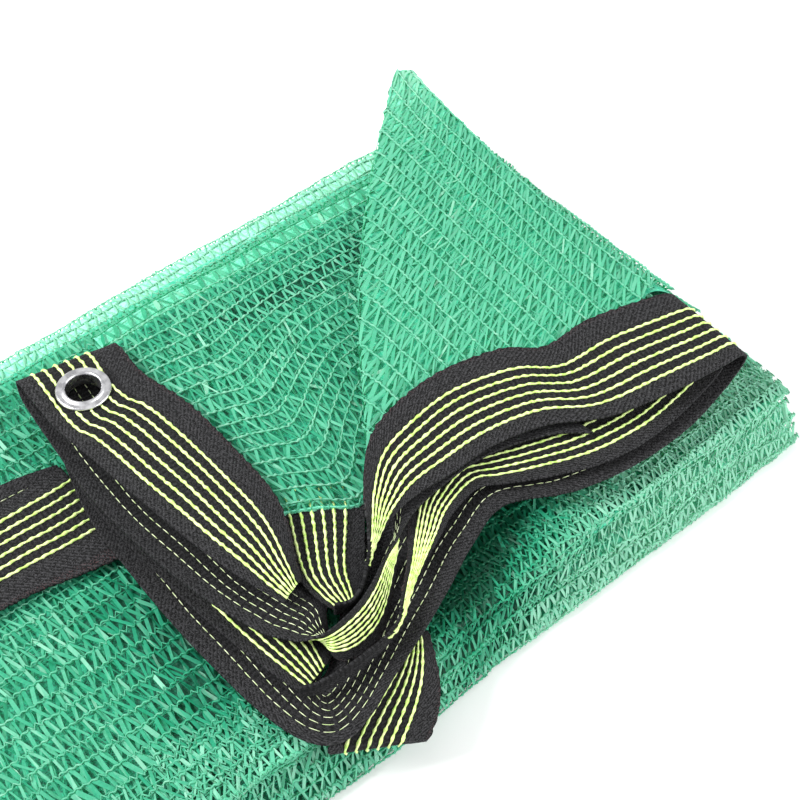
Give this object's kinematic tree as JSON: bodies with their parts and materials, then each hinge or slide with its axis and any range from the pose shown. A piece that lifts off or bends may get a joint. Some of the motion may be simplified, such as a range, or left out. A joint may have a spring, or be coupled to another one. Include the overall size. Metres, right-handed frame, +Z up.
{
  "type": "folded shade net",
  "caption": "Knitted shade net folded into a flat bundle with a turned-over pocket and folded black edge tape that carries an aluminium eyelet.",
  "frame": {"origin": "centre of the bounding box's underside, on the surface that the bundle lies on", "axes": "+X along the bundle towards the end with the pocket, +Y towards its far long side, +Z up"},
  "size_m": [0.4101, 0.2362, 0.049],
  "materials": {
    "green_knit": "open knitted plastic yarn, slightly shiny",
    "black_tape": "woven twill, matte, with lime chain stitching",
    "bare_aluminium": "pressed, bright"
  },
  "bodies": {
    "root": {"net": "green_knit", "tape_eyelet": "black_tape", "tape_second": "black_tape", "tape_third": "black_tape", "tape_pocket": "black_tape", "tape_corner": "black_tape", "tape_side": "black_tape", "eyelet": "bare_aluminium", "eyelet_washer": "bare_aluminium"}
  },
  "joints": []
}
